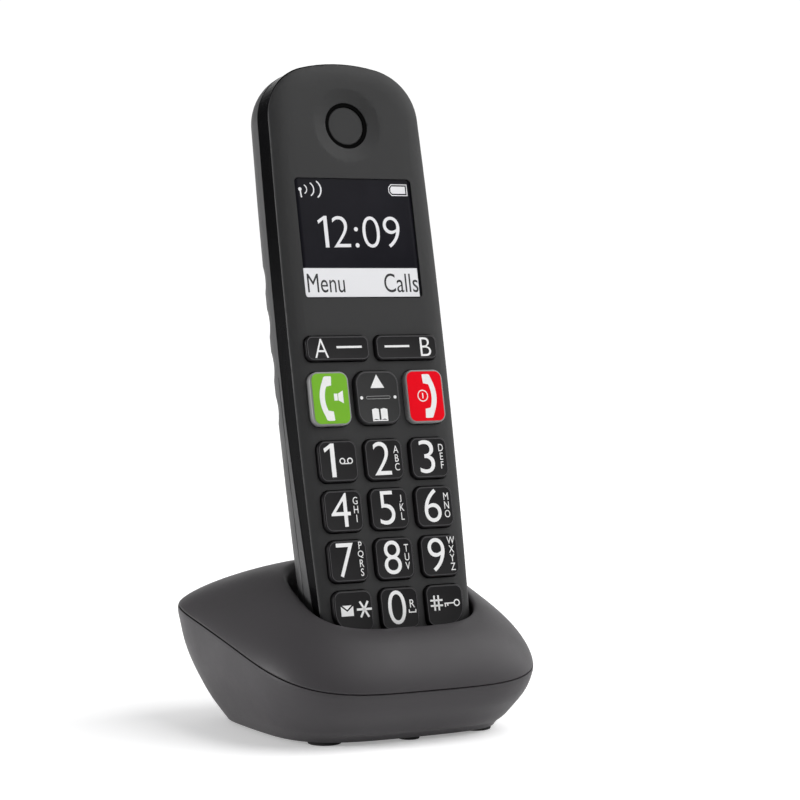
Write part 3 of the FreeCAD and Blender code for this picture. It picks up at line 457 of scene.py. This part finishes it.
# column, row, digit and letters
NUMBER_KEYS = {
    "key_1": (0, 0, "1", ""), "key_2": (1, 0, "2", "ABC"), "key_3": (2, 0, "3", "DEF"),
    "key_4": (0, 1, "4", "GHI"), "key_5": (1, 1, "5", "JKL"), "key_6": (2, 1, "6", "MNO"),
    "key_7": (0, 2, "7", "PQRS"), "key_8": (1, 2, "8", "TUV"), "key_9": (2, 2, "9", "WXYZ"),
    "key_star": (0, 3, "", ""), "key_0": (1, 3, "0", ""), "key_hash": (2, 3, "", ""),
}
DIGIT_HEIGHT = 9.1
DIGIT_WIDTHS = {"2": 5.2, "3": 4.7, "4": 5.8, "5": 4.7, "6": 5.2, "7": 5.1, "8": 5.2, "9": 5.2, "0": 5.4}
DIGIT_PLACES = {"4": -0.75, "7": -1.1, "9": -1.0, "0": -0.9}


def voicemail_sign(bm):
    for x in (1.15, 3.45):
        draw_arc(bm, x, 0.0, 0.72, 0.3, 0, 360)
    draw_bar(bm, 2.3, -0.72, 2.3, 0.3)


def envelope_and_star(bm):
    """The two drawings of the star key. The flap is a gap between two filled parts."""
    x0, x1, low, high, gap = -3.85, -0.15, -1.15, 1.7, 0.3
    mid, tip = (x0 + x1) / 2, 0.25
    draw_shape(bm, (x0 + gap * 1.6, high), (mid, tip + gap), (x1 - gap * 1.6, high))
    draw_shape(bm, (x0, low), (x1, low), (x1, high - gap * 0.7), (mid, tip - gap * 0.7), (x0, high - gap * 0.7))
    for turn in (0, 60, 120):
        draw_bar(bm, 3.15, 0.45, 4.5 if turn == 0 else 4.9, 0.6, turn)


def recall_sign(bm):
    draw_text(bm, "R", 3.7, 1.15, 2.3, width=1.5)
    draw_bar(bm, 3.7, -1.25, 2.3, 0.3)
    for x in (2.7, 4.7):
        draw_bar(bm, x, -0.9, 0.3, 0.8)


def hash_and_lock(bm):
    for offset in (-0.75, 0.75):
        draw_bar(bm, -2.65, 0.7 + offset * 0.95, 3.8, 0.5)
        draw_bar(bm, -2.65 + offset * 0.85, 0.7, 0.5, 4.1)
    draw_arc(bm, 3.6, 0.45, 0.8, 0.34, 0, 360)
    draw_bar(bm, 1.3, 0.45, 3.1, 0.34)
    for x, long in ((0.0, 0.95), (0.75, 0.7)):
        draw_bar(bm, x, 0.45 - long / 2, 0.34, long)


def number_keys():
    signs = {"key_1": voicemail_sign, "key_star": envelope_and_star, "key_0": recall_sign, "key_hash": hash_and_lock}
    for name, (column, row, digit, letters) in NUMBER_KEYS.items():
        x, z = cell_at(column, row)
        corners = [ROUND] * 4
        if name == "key_star":
            corners[0] = CUT
        if name == "key_hash":
            corners[1] = CUT
        bm = key_block(11.6, 11.2, corners, KEY_DEPTH, KEY_EDGE, DISHED)
        finished(name + "_cap", bm, KEY, name, FACE @ Matrix.Translation((x, z, 0)), (name,), second=PAINTED_EDGE_LIGHT)
        bm = bmesh.new()
        if digit == "1":
            draw_one(bm, -1.65, 0.3, DIGIT_HEIGHT, 1.3)
        elif digit:
            draw_text(bm, digit, DIGIT_PLACES.get(digit, -0.7), 0.3, DIGIT_HEIGHT, width=DIGIT_WIDTHS[digit],
                      weight=-0.1, fit=True)
        pitch = 2.4
        first = 0.25 + (len(letters) - 1) * pitch / 2 + (0.2 if len(letters) == 4 else 0)
        for index, letter in enumerate(letters):
            draw_text(bm, letter, 3.75, first - pitch * index, 2.0, stretch=0.84, fit=True)
        if name in signs:
            signs[name](bm)
        printed(name + "_legend", bm, x, z, name, lift=-0.025)
        if name == "key_5":
            bm = bmesh.new()
            bmesh.ops.create_uvsphere(bm, u_segments=16, v_segments=8, radius=0.34)
            bmesh.ops.bisect_plane(bm, geom=list(bm.verts) + list(bm.edges) + list(bm.faces), plane_co=(0, 0, 0.08),
                                   plane_no=(0, 0, 1), clear_inner=True)
            bmesh.ops.holes_fill(bm, edges=bm.edges, sides=16)
            finished("key_5_pip", bm, KEY, name, FACE @ Matrix.Translation((x - 0.1, z + 1.6, -0.1)))


def receiver_sign(bm, side):
    """A telephone receiver seen edge on: a bowed grip that ends in two square ends."""
    reach, stroke, turn, top, tip = 8.9, 1.55, 23.5, 6.05, 0.62
    cx = side * 6.3
    start = 180 - turn if side > 0 else -turn
    draw_arc(bm, cx, 0, reach, stroke, start, 2 * turn, 16)
    a = math.radians(turn)
    outer, inner = reach + stroke / 2, reach - stroke / 2
    for end in (-1, 1):
        low_out = (cx - side * outer * math.cos(a), end * outer * math.sin(a))
        low_in = (cx - side * inner * math.cos(a), end * inner * math.sin(a))
        far_out = (side * -1.75, end * (top - 0.25))
        draw_shape(bm, low_out, low_in, (side * (tip - 0.2), end * (top - 2.5)), (side * tip, end * (top - 0.15)),
                   (side * (tip - 0.2), end * top), (side * -1.35, end * top), far_out)


def speaker_sign(bm, x, y):
    draw_bar(bm, x - 0.95, y, 1.05, 1.9)
    draw_shape(bm, (x - 0.25, y - 0.9), (x + 1.3, y - 1.75), (x + 1.3, y + 1.75), (x - 0.25, y + 0.9))


# how far the call keys and the navigation key stand out past the other keys
CALL_RISE = 0.45
NAV_RISE = 0.25


def call_keys():
    z = CALL_ROW
    corners = (2.6,) * 4
    for name, x, side, face in (("talk_key", -14.6, 1, GREEN), ("end_key", 14.6, -1, RED)):
        bm = key_block(11.7, 14.7, corners, KEY_DEPTH + CALL_RISE, 0.4, DISHED)
        finished(name + "_rim", bm, RIM, name, FACE @ Matrix.Translation((x, z, CALL_RISE)), (name,), second=RIM)
        bm = key_block(10.7, 13.7, (1.9,) * 4, 0.12, 0.05)
        finished(name + "_face", bm, face, name, FACE @ Matrix.Translation((x, z, CALL_RISE + 0.06)), second=face)
        bm = bmesh.new()
        receiver_sign(bm, side)
        if side > 0:
            speaker_sign(bm, 2.45, 0.35)
        else:
            draw_arc(bm, -0.9, 0.1, 1.5, 0.27, 0, 360, 32)
            draw_bar(bm, -0.9, 0.1, 0.32, 1.5)
        printed(name + "_legend", bm, x, z, name, lift=CALL_RISE + 0.05)


def navigation_key():
    x, z = 0.0, CALL_ROW
    bm = key_block(13.4, 14.7, (3.6,) * 4, KEY_DEPTH + NAV_RISE, 0.4, DISHED)
    finished("navigation_key_cap", bm, NAV, "navigation_key", FACE @ Matrix.Translation((x, z, NAV_RISE)),
             ("navigation_key",), second=PAINTED_EDGE_LIGHT)
    bm = bmesh.new()
    draw_shape(bm, (-2.1, 2.6), (2.1, 2.6), (0, 6.3))
    for side in (-1, 1):
        draw_disc(bm, side * 5.15, 0.0, 0.45)
        draw_shape(bm, (side * 0.28, -6.15), (side * 1.35, -5.85), (side * 2.35, -6.2), (side * 2.35, -3.25),
                   (side * 1.35, -2.95), (side * 0.28, -3.2))
    draw_bar(bm, 0, -6.32, 4.7, 0.3)
    printed("navigation_key_legend", bm, x, z, "navigation_key", lift=NAV_RISE - 0.025)
    bm = bmesh.new()
    for side in (-1, 1):
        draw_bar(bm, 0, side * 0.36, 6.6, 0.16)
        draw_arc(bm, side * 3.3, 0, 0.36, 0.16, side * 90 - 180, 180, 10)
    printed("navigation_key_groove", bm, x, z, "navigation_key", RIM, lift=NAV_RISE - 0.03)


def soft_keys():
    z = SOFT_ROW
    for name, x, letter, letter_x, dash_x in (("soft_key_a", -10.6, "A", -5.1, 3.4),
                                              ("soft_key_b", 10.6, "B", 5.7, -3.0)):
        bm = key_block(19.1, 6.8, (1.9,) * 4, KEY_DEPTH, KEY_EDGE, DISHED)
        finished(name + "_cap", bm, KEY, name, FACE @ Matrix.Translation((x, z, 0)), (name,), second=PAINTED_EDGE_LIGHT)
        bm = bmesh.new()
        draw_text(bm, letter, letter_x, 0.0, 5.2, width=4.1 if letter == "A" else 3.3, weight=-0.07, fit=True)
        draw_bar(bm, dash_x, 0.25, 7.7, 0.58)
        printed(name + "_legend", bm, x, z, name, lift=-0.025)


# ------------------------------------------------------------------ display

WINDOW_LOW, WINDOW_HIGH, WINDOW_LIFT = 101.9, 135.4, -1.5
EAR_HEIGHT = 150.4


def battery_sign(bm, x0, x1, y0, y1, line):
    """A filled cell in an outline, with its narrow pole to the left."""
    pole, middle = 0.9, (y0 + y1) / 2
    for end, y in ((-1, y0), (1, y1)):
        draw_shape(bm, (x0 + pole, y), (x1, y), (x1, y - end * line), (x0 + pole + 0.1, y - end * line))
        draw_shape(bm, (x0, middle + end * 0.75), (x0 + line, middle + end * 0.65), (x0 + pole + 0.1, y - end * line),
                   (x0 + pole, y))
    draw_bar(bm, x0 + line / 2, middle, line, 1.3)
    draw_bar(bm, x1 - line / 2, middle, line, y1 - y0 - 2 * line)
    gap = line * 2.6
    draw_shape(bm, (x0 + pole + 0.2, y0 + gap), (x1 - gap, y0 + gap), (x1 - gap, y1 - gap), (x0 + pole + 0.2, y1 - gap),
               (x0 + gap, middle + 0.5), (x0 + gap, middle - 0.5))


def display():
    """The window's lit contents: signal, battery, clock and the two key captions."""
    low, high = WINDOW_LOW, WINDOW_HIGH
    lift = WINDOW_LIFT
    bm = bmesh.new()
    middle = high - 3.2
    draw_disc(bm, -16.45, middle, 0.5)
    draw_shape(bm, (-16.6, middle - 0.45), (-16.2, middle - 0.45), (-16.0, middle - 2.3), (-16.4, middle - 2.3))
    for peak, radius, turn, line in ((-14.4, 1.35, 62, 0.28), (-12.25, 2.05, 60, 0.34), (-10.05, 2.7, 57, 0.4)):
        draw_arc(bm, peak - radius, middle, radius, line, -turn, 2 * turn)
    battery_sign(bm, 11.0, 16.9, high - 4.7, high - 1.4, 0.24)
    draw_one(bm, -9.75, 120.4, 8.8, 1.12)
    draw_text(bm, "2:09", 2.75, 120.4, 8.8, width=21.0, weight=-0.15, fit=True)
    printed("display_signs", bm, 0, 0, "handset", SEGMENT, lift=lift - 0.005)
    bm = bmesh.new()
    draw_bar(bm, -0.3, low + 4.35, 35.3, 8.0)
    printed("display_caption_strip", bm, 0, 0, "handset", SEGMENT, lift=lift - 0.005)
    bm = bmesh.new()
    draw_text(bm, "Menu", -17.5, low + 4.4, 5.5, width=11.4, side="LEFT")
    draw_text(bm, "Calls", 6.3, low + 4.4, 5.5, width=10.6, side="LEFT")
    printed("display_captions", bm, 0, 0, "handset", DARK_INK, lift=lift + 0.01)


def earpiece_felt_and_shade():
    """A ring at the bottom of the sound slot. It stands for acoustic felt, and it is made near black as painted shade
    so that the deep slot reads black.
    """
    bm = bmesh.new()
    draw_arc(bm, 0, 0, 5.95, 1.02, 0, 360, 64)
    printed("earpiece_felt_and_shade", bm, 0, EAR_HEIGHT, "handset", FELT_AND_SHADE, lift=-2.2, thick=0.35)


# ------------------------------------------------------------------ base

HALF_W, WIDENING, HALF_D = 41.8, 1.4, 41.5    # the base's outline at the parting line
FRONT_POWER, REAR_POWER = 3.9, 4.9
SEAM_FRONT, SEAM_CLIMB, SEAM_BOW = 14.7, 18.3, 2.0
WELL_W, WELL_D, WELL_MIDDLE, WELL_POWER = 24.7, 14.5, 10.1, 3.3    # in the handset frame
RIM_HEIGHT, RIM_SLOPE = 43.2, 0.45
LIP = 1.3
SPRING_X, SPRING_Y = 9.0, 13.0
SLOT_X, SLOT_Y = 2.05, 4.5    # half sizes, before the floor is smoothed


def seam_height(y):
    chord = SEAM_FRONT + SEAM_CLIMB * (y + HALF_D) / (2 * HALF_D)
    return chord + SEAM_BOW * (1 - (y / HALF_D) ** 2)


def rounded_loop(turn, half_w, widening, middle, half_d, front_power, rear_power):
    """A point of a rounded four-sided loop, by the superellipse formula."""
    c, s = math.cos(turn), math.sin(turn)
    power = rear_power if s > 0 else front_power
    across = math.copysign(abs(c) ** (2 / power), c)
    along = math.copysign(abs(s) ** (2 / power), s)
    return (half_w + widening * along) * across, middle + half_d * along


def well_point(turn, grow, drop, depth=None):
    """A point on the cradle's wall, grown outwards, drop below the rim's plane or at a given handset height."""
    x, back = rounded_loop(turn, WELL_W + grow, 0, WELL_MIDDLE, WELL_D + grow, WELL_POWER, WELL_POWER)
    if depth is None:
        level = RIM_HEIGHT + RIM_SLOPE * (DOCK_Y + back * math.cos(LEAN)) - DOCK_Z + back * math.sin(LEAN)
        depth = level / (math.cos(LEAN) - RIM_SLOPE * math.sin(LEAN)) - drop
    return DOCK @ (Vector((x, back, depth)) * MM)


def shoulder_point(turn, up):
    """A point between the parting line, up = 0, and the rim, up = 1."""
    x, y = rounded_loop(turn, HALF_W, WIDENING, 0, HALF_D, FRONT_POWER, REAR_POWER)
    start = Vector((x, y, seam_height(y) + 0.15)) * MM
    end = well_point(turn, LIP, 0.0)
    power = 1.6 - 0.35 * (1 + math.sin(turn)) / 2
    inward = 1 - (1 - up ** power) ** (1 / power)
    return Vector((start.x + (end.x - start.x) * inward, start.y + (end.y - start.y) * inward,
                   start.z + (end.z - start.z) * up))


def add_loop(bm, place, count=80):
    """A closed ring of vertices, each moved to its own place."""
    ring = bmesh.ops.create_circle(bm, cap_ends=False, segments=count, radius=1.0)["verts"]
    for index, vert in enumerate(ring):
        vert.co = place(2 * math.pi * (index + 0.5) / count)
    return [e for e in {e for v in ring for e in v.link_edges}]


def open_spring_slots(bm, floor):
    """Cuts the two slots of the charge springs through the cradle's floor."""
    spin = DOCK.to_3x3()
    cuts = [((side * SPRING_X + edge * SLOT_X, 0, 0), (1, 0, 0)) for side in (-1, 1) for edge in (-1, 1)]
    cuts += [((0, SPRING_Y + edge * SLOT_Y, 0), (0, 1, 0)) for edge in (-1, 1)]
    faces = list(floor)
    for place, normal in cuts:
        geom = list({v for f in faces for v in f.verts}) + list({e for f in faces for e in f.edges}) + faces
        result = bmesh.ops.bisect_plane(bm, geom=geom, dist=1e-7, plane_co=DOCK @ (Vector(place) * MM),
                                        plane_no=spin @ Vector(normal))
        faces = [item for item in result["geom"] if isinstance(item, bmesh.types.BMFace)]
    slots = []
    for face in faces:
        middle = DOCK.inverted() @ face.calc_center_median() / MM
        if abs(abs(middle.x) - SPRING_X) < SLOT_X * 0.5 and abs(middle.y - SPRING_Y) < SLOT_Y * 0.5:
            slots.append(face)
    bmesh.ops.delete(bm, geom=slots, context="FACES")


def base_top():
    """The upper shell: from the parting line over the shoulder and the soft lip, down into the cradle's floor."""
    bm = bmesh.new()
    places = [lambda t, u=u: shoulder_point(t, u) for u in
              (0.0, 0.025, 0.1, 0.22, 0.36, 0.5, 0.64, 0.77, 0.87, 0.94, 0.98)]
    for degrees in (0, 22, 45, 68, 90):
        a = math.radians(degrees)
        places.append(lambda t, a=a: well_point(t, LIP * (1 - math.sin(a)), LIP * (1 - math.cos(a))))
    places.append(lambda t: well_point(t, 0.0, LIP + 2.5))
    for depth, grow in ((7.0, 0.0), (3.0, 0.0), (1.0, -0.1), (0.15, -0.7), (-0.15, -1.9)):
        places.append(lambda t, d=depth, g=grow: well_point(t, g, 0, d))
    rings = [add_loop(bm, place) for place in places]
    for near, far in zip(rings, rings[1:]):
        bmesh.ops.bridge_loops(bm, edges=near + far)
    floor = bmesh.ops.edgeloop_fill(bm, edges=rings[-1])["faces"]
    bmesh.ops.inset_region(bm, faces=floor, thickness=3 * MM, use_even_offset=True)
    open_spring_slots(bm, floor)
    bmesh.ops.recalc_face_normals(bm, faces=bm.faces)
    top = max(bm.faces, key=lambda f: f.calc_center_median().z)
    if top.normal.z < 0:
        bmesh.ops.reverse_faces(bm, faces=bm.faces)
    piece = finished("base_top_moulding", bm, STAND, "base", replaces=("base_top_shell",), sharp=60)
    wall = piece.modifiers.new("wall", "SOLIDIFY")
    wall.thickness = 1.1 * MM
    wall.offset = -1
    smooth = piece.modifiers.new("smooth", "SUBSURF")
    smooth.levels = smooth.render_levels = 1
    return piece


# ------------------------------------------------------------------ studio

ROOM_DARK, ROOM_WHITE = 0.09, 1.05


def studio():
    bm = bmesh.new()
    bmesh.ops.create_grid(bm, x_segments=1, y_segments=1, size=60)
    mesh = bpy.data.meshes.new("floor")
    bm.to_mesh(mesh)
    bm.free()
    floor = bpy.data.objects.new("floor", mesh)
    bpy.context.scene.collection.objects.link(floor)
    paper = Finish("pale_lit_table", None, (0.93, 0.93, 0.935), 0.9, Specular_IOR_Level=0.2, Emission_Strength=0.3,
                   Emission_Color=(1, 1, 1, 1))
    paper.drive("Base Color", paper.blend(paper.noise(3, 2), (0.92, 0.92, 0.925), (0.94, 0.94, 0.945)))
    mesh.materials.append(paper.material)

    # a soft room: a white wall behind and to the right, falling off to a darker one at the left and in front
    world = bpy.data.worlds.new("soft_room")
    world.use_nodes = True
    room = Bench(world.node_tree)
    sky = world.node_tree.nodes["Background"]
    sky.inputs["Color"].default_value = (1, 1, 1, 1)
    direction = room.node("ShaderNodeTexCoord", out="Generated")
    facing = room.node("ShaderNodeVectorMath", {"operation": "DOT_PRODUCT"},
                       {0: direction, 1: (0.75, 0.66, 0.0)}, "Value")
    level = room.node("ShaderNodeMapRange", {"interpolation_type": "SMOOTHSTEP"},
                      {"Value": facing, "From Min": 0.4, "From Max": 0.9, "To Min": ROOM_DARK, "To Max": ROOM_WHITE})
    world.node_tree.links.new(level.socket, sky.inputs["Strength"])
    bpy.context.scene.world = world

    for name, strength, spread, aim in (("high_key", 2.25, 60, (-0.55, 0.42, -0.72)),
                                        ("top_fill", 0.5, 120, (0, 0, -1))):
        sun = bpy.data.lights.new(name, "SUN")
        sun.energy = strength
        sun.angle = math.radians(spread)
        lamp = bpy.data.objects.new(name, sun)
        lamp.rotation_euler = Vector(aim).to_track_quat("-Z", "Y").to_euler()
        bpy.context.scene.collection.objects.link(lamp)

    def panel(name, place, aim, width, height, power):
        light = bpy.data.lights.new(name, "AREA")
        light.shape = "RECTANGLE"
        light.size, light.size_y = width, height
        light.energy = power
        lamp = bpy.data.objects.new(name, light)
        lamp.location = place
        lamp.rotation_euler = (Vector(aim) - Vector(place)).to_track_quat("-Z", "Y").to_euler()
        lamp.visible_camera = False
        bpy.context.scene.collection.objects.link(lamp)

    panel("rear_left_panel", (-1.25, 0.45, 0.2), (0, 0, 0.12), 0.4, 0.7, 15)
    panel("right_panel", (1.2, -0.1, 0.5), (0, 0, 0.1), 0.5, 0.9, 3)


# where the camera looks from, and how high above level it is
AZIMUTH, ELEVATION = -29.2779, 2.8114
CAMERA_PLACE = (-338.52, -626.49, 124.08)


def camera():
    azimuth, elevation = math.radians(AZIMUTH), math.radians(ELEVATION)
    back = Vector((math.sin(azimuth) * math.cos(elevation), -math.cos(azimuth) * math.cos(elevation),
                   math.sin(elevation)))
    lens = bpy.data.cameras.new("product_camera")
    lens.lens = 117.0
    lens.sensor_width = 36.0
    lens.clip_start = 0.01
    shot = bpy.data.objects.new("product_camera", lens)
    shot.location = Vector(CAMERA_PLACE) * MM
    shot.rotation_euler = back.to_track_quat("Z", "Y").to_euler()
    bpy.context.scene.collection.objects.link(shot)
    bpy.context.scene.camera = shot


# ------------------------------------------------------------------ everything together

GRIDS = {"front_shell": 2.4, "rear_shell": 4.0}    # long-faced skins are cut up this finely
# the nodes with no skin of their own: inner ones, and the base's top, which is moulded anew
UNSKINNED = {"base_top_shell", "lcd_panel", "backlight_plate", "keypad_mat", "base_board", "handset_board",
             "base_rf_shield", "handset_rf_shield", "base_antennas", "handset_antenna", "battery_contacts",
             "contact_carrier", "earpiece_capsule", "ringer_speaker", "microphone", "battery_cells"}


def dress_nodes():
    """Every node gets its finish. Those that show get a smooth-shaded skin."""
    for finish, nodes in NODE_FINISH.items():
        for node in nodes:
            slots = frame["nodes"][node].data.materials
            slots.clear()
            slots.append(finish.material)
            if node not in UNSKINNED:
                refined(node, finish, grid=GRIDS.get(node))
    for node, finish in (("talk_key", GREEN), ("end_key", RED), ("navigation_key", NAV), ("soft_key_a", KEY),
                         ("soft_key_b", KEY), *((name, KEY) for name in NUMBER_KEYS)):
        slots = frame["nodes"][node].data.materials
        slots.clear()
        slots.append(finish.material)


camera()
studio()
dress_nodes()
base_top()
number_keys()
call_keys()
navigation_key()
soft_keys()
display()
earpiece_felt_and_shade()
bpy.context.scene.view_settings.view_transform = "Standard"
